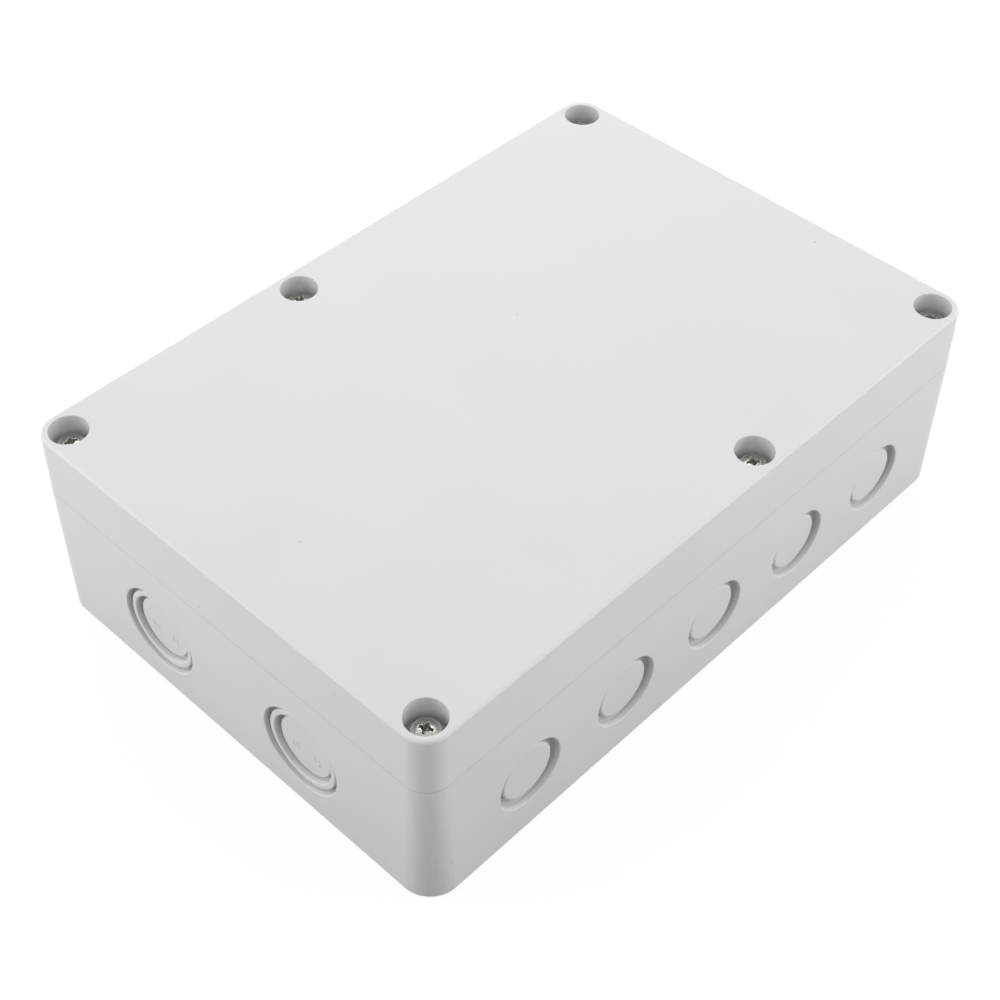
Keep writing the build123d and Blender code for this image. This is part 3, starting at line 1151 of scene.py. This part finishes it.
@dataclass
class LidScrews(SitePieces):
    """Captive pan-head screws with a cross recess and a real thread."""

    node = "lid_screw_{}"
    name = "screw_{}"
    body = "screw_{}"
    slot = Slot.STEEL
    turns = {
        Site.FRONT_LEFT: 24.0,
        Site.FRONT_MIDDLE: 52.0,
        Site.FRONT_RIGHT: 33.0,
        Site.BACK_LEFT: 71.0,
        Site.BACK_MIDDLE: 20.0,
        Site.BACK_RIGHT: 60.0,
    }
    origin_height = 20.0

    head_radius: float = 4.75
    head_height: float = 3.7
    head_chamfer: float = 0.2
    dome_radius: float = 10.5
    dome_rings: int = 8
    rim_rounding: float = 1.3
    shank_radius: float = 1.75
    root_radius: float = 2.06
    crest_radius: float = 2.48
    pitch: float = 0.8
    thread_length: float = 9.0
    thread_start_share: float = 0.7
    thread_run_out: float = 0.55
    ridge_shares: tuple[float, ...] = (0.0, 0.33, 0.45, 0.78)
    ridge_sink: float = 0.2
    shoulder: float = 0.15
    tip_radius: float = 1.55
    tip_height: float = 0.7
    recess_length: float = 5.2
    recess_width: float = 1.25
    recess_depth: float = 2.2
    recess_foot_share: float = 0.62
    recess_foot_normal: float = -0.5
    core_foot_radius: float = 0.7975
    core_top_radius: float = 1.6675
    core_sink: float = 0.15
    core_segments: int = 24
    cutter_clear: float = 1.0
    tick_inner: float = 1.55
    tick_outer: float = 2.75
    tick_width: float = 0.16
    tick_depth: float = 0.14
    tick_turns: tuple[float, ...] = (45.0, 135.0, 225.0, 315.0)
    edge_width: float = 0.05
    segments: int = 72
    thread_steps: int = 32

    def _dome_height(self, radius: float) -> float:
        """Height of the head's dome at a radius, over its underside."""
        return self.head_height - self.dome_radius + math.sqrt(self.dome_radius**2 - radius**2)

    def _profile(self) -> list[Pair]:
        """Outline of the screw without recess and thread, from the tip to the dome's top.

        Returns:
            Radius and height of each point, with the head's underside at zero.
        """
        foot = -self.origin_height
        thread_top = foot + self.thread_length
        points = [
            (0.0, foot),
            (self.tip_radius, foot),
            (self.root_radius, foot + self.tip_height),
            (self.root_radius, thread_top),
            (self.shank_radius, thread_top + self.shoulder),
            (self.shank_radius, 0.0),
            (self.head_radius - self.head_chamfer, 0.0),
            (self.head_radius, self.head_chamfer),
        ]
        soft = self.rim_rounding
        inner, reach = self.head_radius - soft, self.dome_radius - soft
        dome_centre = self.head_height - self.dome_radius
        edge_centre = (inner, dome_centre + math.sqrt(reach**2 - inner**2))
        points += arc(edge_centre, soft, 0.0, math.degrees(math.acos(inner / reach)))
        start = points[-1][0]
        for ring in range(1, self.dome_rings + 1):
            radius = start * (1 - ring / self.dome_rings)
            points.append((radius, self._dome_height(radius)))
        return points

    @staticmethod
    def _block(place: Point, size: Point, turns: Point) -> Object:
        """Adds a block to cut with.

        Args:
            place: the block's centre.
            size: its three sides.
            turns: its turns about X, Y and Z, in radians.

        Returns:
            The block, with its place in its mesh.
        """
        deselect_all()
        place, size = ([length * MM for length in lengths] for lengths in (place, size))
        bpy.ops.mesh.primitive_cube_add(size=1, location=place, rotation=turns, scale=size)
        bpy.ops.object.transform_apply(location=True, rotation=True, scale=True)
        return bpy.context.object

    def _arm(self, turn: float) -> Object:
        """Models one arm of the cross recess, tapered towards its foot.

        Args:
            turn: the arm's turn about Z in degrees.

        Returns:
            The cutting solid.
        """
        tall = self.recess_depth + self.cutter_clear
        place = (0.0, 0.0, self.head_height - self.recess_depth + tall / 2)
        size = (self.recess_length, self.recess_width, tall)
        arm = self._block(place, size, (0.0, 0.0, math.radians(turn)))
        share = self.recess_foot_share
        with editing(arm):
            select_faces(arm, lambda centre, normal: normal.z < self.recess_foot_normal)
            bpy.ops.transform.resize(value=(share, share, 1.0))
        return arm

    def _core(self) -> Object:
        """Models the round middle of the cross recess.

        Returns:
            The cutting solid.
        """
        deselect_all()
        tall = self.recess_depth + self.cutter_clear
        middle = self.head_height - self.recess_depth - self.core_sink + tall / 2
        bpy.ops.mesh.primitive_cone_add(
            vertices=self.core_segments,
            radius1=self.core_foot_radius * MM,
            radius2=self.core_top_radius * MM,
            depth=tall * MM,
            location=(0, 0, middle * MM),
        )
        bpy.ops.object.transform_apply(location=True, rotation=False, scale=False)
        return bpy.context.object

    def _tick(self, turn: float) -> Object:
        """Models one of the four fine marks between the arms.

        Args:
            turn: the mark's turn about Z in degrees.

        Returns:
            The cutting solid.
        """
        angle = math.radians(turn)
        middle = (self.tick_inner + self.tick_outer) / 2
        level = self._dome_height(middle)
        place = (middle * math.cos(angle), middle * math.sin(angle), level)
        size = (self.tick_outer - self.tick_inner, self.tick_width, 2 * self.tick_depth)
        return self._block(place, size, (0.0, math.asin(middle / self.dome_radius), angle))

    def _thread(self) -> Object:
        """Models the helical ridge, closed at both ends and sunk a little into the core.

        Returns:
            The ridge as a solid.
        """
        low = -self.origin_height + self.tip_height * self.thread_start_share
        levels = [low + share * self.pitch for share in self.ridge_shares]
        root, crest = self.root_radius - self.ridge_sink, self.crest_radius
        outline = list(zip((root, crest, crest, root, root), (*levels, low)))
        ridge = draw_profile("thread_ridge", outline)
        with editing(ridge):
            bpy.ops.mesh.remove_doubles(threshold=MERGE_DISTANCE)
        rounds = int((self.thread_length - self.thread_run_out - self.pitch) / self.pitch)
        apply_modifier(
            ridge,
            "SCREW",
            axis="Z",
            angle=FULL_TURN,
            screw_offset=self.pitch * MM,
            iterations=rounds,
            steps=self.thread_steps,
            render_steps=self.thread_steps,
            use_smooth_shade=False,
        )
        with editing(ridge):
            bpy.ops.mesh.select_mode(type="EDGE")
            bpy.ops.mesh.select_all(action="DESELECT")
            bpy.ops.mesh.select_non_manifold()
            bpy.ops.mesh.fill()
            bpy.ops.mesh.select_all(action="SELECT")
            bpy.ops.mesh.normals_make_consistent(inside=False)
        return ridge

    def model(self) -> Object:
        """Models one screw with its axis on Z and its head's underside at zero.

        Returns:
            The finished screw.
        """
        screw = turned("screw_model", self._profile(), self.segments)
        ticks = [self._tick(turn) for turn in self.tick_turns]
        for cutter in (self._arm(0.0), self._arm(90.0), self._core(), *ticks):
            combine(screw, cutter, "DIFFERENCE")
        soften_edges(screw, self.edge_width)
        combine(screw, self._thread(), "UNION")
        smooth(screw)
        keep_own_place(screw)
        return screw


@dataclass
class CaptiveWashers(SitePieces):
    """Soft washers, each gripping a screw's shank, with a fine groove round both faces."""

    node = "captive_washer_{}"
    name = "soft_washer_{}"
    body = "washer_{}"
    slot = Slot.WASHER

    outer_radius: float = 4.5
    bore_radius: float = 1.8
    thickness: float = 1.0
    rounding: float = 0.22
    groove_radius: float = 3.4
    groove_half: float = 0.5
    groove_depth: float = 0.12
    edge_width: float = 0.08
    segments: int = 56

    def model(self) -> Object:
        """Models one washer, standing on the origin's plane.

        Returns:
            The finished washer.
        """
        edge = self.rounding
        lower = [
            (self.bore_radius, edge),
            (self.bore_radius + edge, 0.0),
            (self.groove_radius - self.groove_half, 0.0),
            (self.groove_radius, self.groove_depth),
            (self.groove_radius + self.groove_half, 0.0),
            (self.outer_radius - edge, 0.0),
            (self.outer_radius, edge),
        ]
        upper = [(radius, self.thickness - level) for radius, level in reversed(lower)]
        washer = turned("washer_model", [*lower, *upper, lower[0]], self.segments)
        soften_edges(washer, self.edge_width)
        smooth(washer)
        return washer


@dataclass
class ThreadedInserts(SitePieces):
    """Brass inserts, each with a groove between two knurled bands."""

    node = "threaded_insert_{}"
    name = "brass_insert_{}"
    body = "base"
    slot = Slot.BRASS
    origin_height = 9.5

    outer_radius: float = 3.5
    core_radius: float = 3.28
    groove_radius: float = 3.05
    groove_width: float = 1.6
    groove_slant: float = 0.15
    bore_radius: float = 2.55
    thread_depth: float = 0.3
    pitch: float = 0.8
    crest_share: float = 0.1
    root_share: float = 0.5
    lead_in: float = 0.3
    knurls: int = 36
    knurl_slant: float = 0.97
    band_margin: float = 0.05
    band_slope: float = 0.1

    def _bore(self) -> list[Pair]:
        """Points down the threaded bore, from top to foot.

        Returns:
            Radius and height of each point.
        """
        points = []
        root_radius = self.bore_radius + self.thread_depth
        for turn in range(int((self.origin_height - 2 * self.lead_in) / self.pitch)):
            level = -self.lead_in - turn * self.pitch
            points.append((self.bore_radius, level - self.crest_share * self.pitch))
            points.append((root_radius, level - self.root_share * self.pitch))
        points.append((self.bore_radius, -self.origin_height + self.lead_in))
        return points

    def _on_tooth(self, centre: Vector, normal: Vector) -> bool:
        """Tells whether a face is one of every two round the bands that a tooth stands on.

        Args:
            centre: the face's centre.
            normal: the face's normal.

        Returns:
            Whether it is one.
        """
        step = int(math.atan2(centre.y, centre.x) % FULL_TURN / math.pi * self.knurls)
        outside = math.hypot(centre.x, centre.y) > (self.core_radius - self.band_margin) * MM
        return outside and abs(normal.z) < self.band_slope and step % 2 == 0

    def model(self) -> Object:
        """Models one insert, hanging from the origin's plane.

        Returns:
            The finished insert.
        """
        foot = -self.origin_height
        band_foot = -(self.origin_height - self.groove_width) / 2
        groove_foot = band_foot - self.groove_width
        outline = [
            (self.bore_radius + self.lead_in, 0.0),
            (self.core_radius - self.lead_in, 0.0),
            (self.core_radius, -self.lead_in),
            (self.core_radius, band_foot),
            (self.groove_radius, band_foot - self.groove_slant),
            (self.groove_radius, groove_foot + self.groove_slant),
            (self.core_radius, groove_foot),
            (self.core_radius, foot + self.lead_in),
            (self.core_radius - self.lead_in, foot),
            (self.bore_radius, foot),
        ]
        outline += reversed(self._bore())
        insert = turned("insert_model", [*outline, outline[0]], 2 * self.knurls)
        grow = self.outer_radius / self.core_radius
        with editing(insert):
            select_faces(insert, self._on_tooth)
            bpy.ops.mesh.extrude_region_move(TRANSFORM_OT_translate={"value": (0, 0, 0)})
            bpy.ops.transform.resize(
                value=(grow, grow, self.knurl_slant), center_override=(0, 0, foot / 2 * MM)
            )
        smooth(insert)
        keep_own_place(insert)
        return insert


@dataclass
class SealingGasket:
    """The endless foam strip in the lid's groove, with rounded edges."""

    node: str = "gasket"
    edge_rounding: float = 0.45
    flat_angle: float = 1.0

    def build(self, finishes: Finishes) -> None:
        """Rounds a merged copy of the plain strip.

        Args:
            finishes: the material for each slot.
        """
        strip = merged_copy(self.node, "foam_gasket")
        with editing(strip):
            bpy.ops.mesh.dissolve_limited(angle_limit=math.radians(self.flat_angle))
        soften_edges(strip, self.edge_rounding, segments=3)
        smooth(strip)
        hand_over(strip, finishes, "lid", Slot.GASKET, (self.node,))


@dataclass
class SizeMarks:
    """Raised plain numbers, side by side on the discs of the double knock-outs."""

    numbers: tuple[str, str] = ("25", "32")
    text_height: float = 3.1
    capital_share: float = 0.7
    raised: float = 0.16
    spread: float = 4.6
    drop: float = 2.4
    curve_steps: int = 4

    def _number(self, text: str, along: float) -> Object:
        """Models one number, facing +Z.

        Args:
            text: the number's figures.
            along: its place along the line.

        Returns:
            The number as a mesh.
        """
        deselect_all()
        bpy.ops.object.text_add(location=(along * MM, -self.drop * MM, 0))
        words = bpy.context.object.data
        words.body = text
        words.size = self.text_height / self.capital_share * MM
        words.extrude = self.raised / 2 * MM
        words.bevel_depth = self.raised / 4 * MM
        words.resolution_u = self.curve_steps
        words.align_x = words.align_y = "CENTER"
        bpy.ops.object.convert(target="MESH")
        bpy.ops.object.transform_apply(location=True, rotation=True, scale=True)
        return bpy.context.object

    def build(self, finishes: Finishes) -> None:
        """Models the pair of numbers and puts a copy on each disc.

        Args:
            finishes: the material for each slot.
        """
        places = (-self.spread, self.spread)
        model = join_all([self._number(text, along) for text, along in zip(self.numbers, places)])
        with editing(model):
            bpy.ops.mesh.remove_doubles(threshold=MERGE_DISTANCE)
            bpy.ops.mesh.normals_make_consistent(inside=False)
        for wall in (Wall.LEFT, Wall.RIGHT):
            depth = wall.row.grooves[-1].recess * MM
            turns = (90.0, 0.0, 90.0 * wall.outward.x)
            for index, place in enumerate(wall.places(), start=1):
                name = f"size_mark_{wall.name.lower()}_{index}"
                mark = place_copy(model, name, place - depth * wall.outward, turns)
                hand_over(mark, finishes, "base", Slot.PLASTIC)
        remove(model)


@dataclass(frozen=True)
class Softbox:
    """A square soft lamp that faces a point over the enclosure's middle, in metres and watts."""

    name: str
    place: Point
    aim_height: float
    side: float
    power: float

    def hang(self) -> None:
        """Adds the lamp at its place and turns it to the point that it faces."""
        data = bpy.data.lights.new(self.name, "AREA")
        data.shape = "SQUARE"
        data.size = self.side
        data.energy = self.power
        lamp = bpy.data.objects.new(self.name, data)
        bpy.context.scene.collection.objects.link(lamp)
        aim = Vector((0.0, 0.0, self.aim_height)) - Vector(self.place)
        lamp.rotation_mode = "QUATERNION"
        lamp.rotation_quaternion = aim.to_track_quat("-Z", "Y")
        lamp.location = self.place


@dataclass
class Studio:
    """White floor and background, a soft ambient light and large soft lamps, in metres.

    Only the camera and mirrors see the floor white. As a light it is dark near the object, as a
    stand is, and paler further out.
    """

    floor_size: float = 8.0
    floor_level: float = -0.0002
    floor_fade: float = 0.2
    floor_near: Colour = (0.2, 0.2, 0.2, 1.0)
    floor_far: Colour = (0.5, 0.5, 0.5, 1.0)
    seen_floor: Colour = (0.16, 0.16, 0.16, 1.0)
    seen_glow: float = 0.88
    ambient: float = 0.52
    lamps: tuple[Softbox, ...] = (
        Softbox("top_softbox", (0.5, 0.56, 0.84), 0.05, 0.8, 5.85),
        Softbox("left_softbox", (-0.785, 0.485, 0.27), 0.04, 0.6, 4.45),
        Softbox("right_softbox", (0.485, -0.785, 0.27), 0.04, 0.6, 4.4),
    )

    def _floor(self) -> None:
        """Lays the floor, which the camera sees as white with a faint shadow."""
        deselect_all()
        bpy.ops.mesh.primitive_plane_add(size=self.floor_size, location=(0, 0, self.floor_level))
        floor = bpy.context.object
        floor.name = "studio_floor"
        material = bpy.data.materials.new("studio_white")
        material.use_nodes = True
        nodes = Nodes(material.node_tree)
        nodes.tree.nodes.remove(nodes.tree.nodes["Principled BSDF"])
        place = nodes.parts(nodes.add("TexCoord").outputs["Object"])
        aside, ahead = (
            nodes.math("SUBTRACT", nodes.math("ABSOLUTE", place[index]), CAD_BOX[1][index])
            for index in (0, 1)
        )
        away = nodes.ramp(nodes.math("MAXIMUM", aside, ahead), 0.0, self.floor_fade)
        real = nodes.add("BsdfDiffuse", Color=nodes.blend(away, self.floor_near, self.floor_far))
        faint = nodes.add("BsdfDiffuse", Color=self.seen_floor)
        glow = nodes.add("Emission", Strength=self.seen_glow)
        seen = nodes.add("AddShader")
        mix = nodes.add("MixShader", Fac=self._seen_directly(nodes))
        for target, source in (
            (seen.inputs[0], faint),
            (seen.inputs[1], glow),
            (mix.inputs[1], real),
            (mix.inputs[2], seen),
            (nodes.tree.nodes["Material Output"].inputs["Surface"], mix),
        ):
            nodes.feed(target, source.outputs[0])
        floor.data.materials.append(material)

    @staticmethod
    def _seen_directly(nodes: Nodes) -> NodeSocket:
        """Masks rays from the camera, in mirrors and through glass.

        Args:
            nodes: the nodes that the mask is added to.

        Returns:
            The mask's socket.
        """
        rays = nodes.add("LightPath").outputs
        mask = nodes.math("MAXIMUM", rays["Is Camera Ray"], rays["Is Glossy Ray"])
        return nodes.math("MAXIMUM", mask, rays["Is Transmission Ray"])

    def _world(self) -> None:
        """Makes the world white to look at and softer as a light."""
        world = bpy.data.worlds.new("studio_air")
        bpy.context.scene.world = world
        world.use_nodes = True
        nodes = Nodes(world.node_tree)
        reach = nodes.product(self._seen_directly(nodes), 1.0 - self.ambient)
        strength = nodes.math("ADD", reach, self.ambient)
        backdrop = world.node_tree.nodes["Background"]
        nodes.set(backdrop, Color=(1.0, 1.0, 1.0, 1.0), Strength=strength)

    def build(self) -> None:
        """Lays the floor, sets the world and hangs the lamps."""
        self._floor()
        self._world()
        for lamp in self.lamps:
            lamp.hang()


@dataclass
class PhotoCamera:
    """The photograph's camera, found from the enclosure's holes and edges."""

    place: Point = (-332.81, -309.21, 489.0)
    heading: float = -46.438
    look_down: float = 43.313
    roll: float = 0.538
    focal_pixels: float = 1909.4
    frame_pixels: float = 1000.0
    axis_row: float = 400.0
    sensor: float = 36.0
    nearest: float = 10.0
    farthest: float = 50000.0

    def build(self) -> None:
        """Makes the camera and sets it as the scene's."""
        data = bpy.data.cameras.new("photo_camera")
        data.sensor_width = self.sensor
        data.lens = self.focal_pixels / self.frame_pixels * self.sensor
        data.shift_y = (self.axis_row - self.frame_pixels / 2) / self.frame_pixels
        data.clip_start = self.nearest * MM
        data.clip_end = self.farthest * MM
        camera = bpy.data.objects.new("photo_camera", data)
        bpy.context.scene.collection.objects.link(camera)
        turn = Matrix.Rotation(math.radians(self.heading), 4, "Z")
        tip = Matrix.Rotation(math.radians(90.0 - self.look_down), 4, "X")
        lean = Matrix.Rotation(math.radians(self.roll), 4, "Z")
        camera.matrix_world = Matrix.Translation(Vector(self.place) * MM) @ turn @ tip @ lean
        bpy.context.scene.camera = camera


def main() -> None:
    """Builds the studio and every sub-assembly in order."""
    logging.basicConfig(level=logging.INFO, format="%(message)s")
    PhotoCamera().build()
    Studio().build()
    finishes = build_finishes()
    BaseShell().build(finishes)
    LidShell().build(finishes)
    LidScrews().build(finishes)
    CaptiveWashers().build(finishes)
    ThreadedInserts().build(finishes)
    SealingGasket().build(finishes)
    SizeMarks().build(finishes)
    bpy.context.scene.view_settings.view_transform = "Standard"


if __name__ == "__main__":
    main()
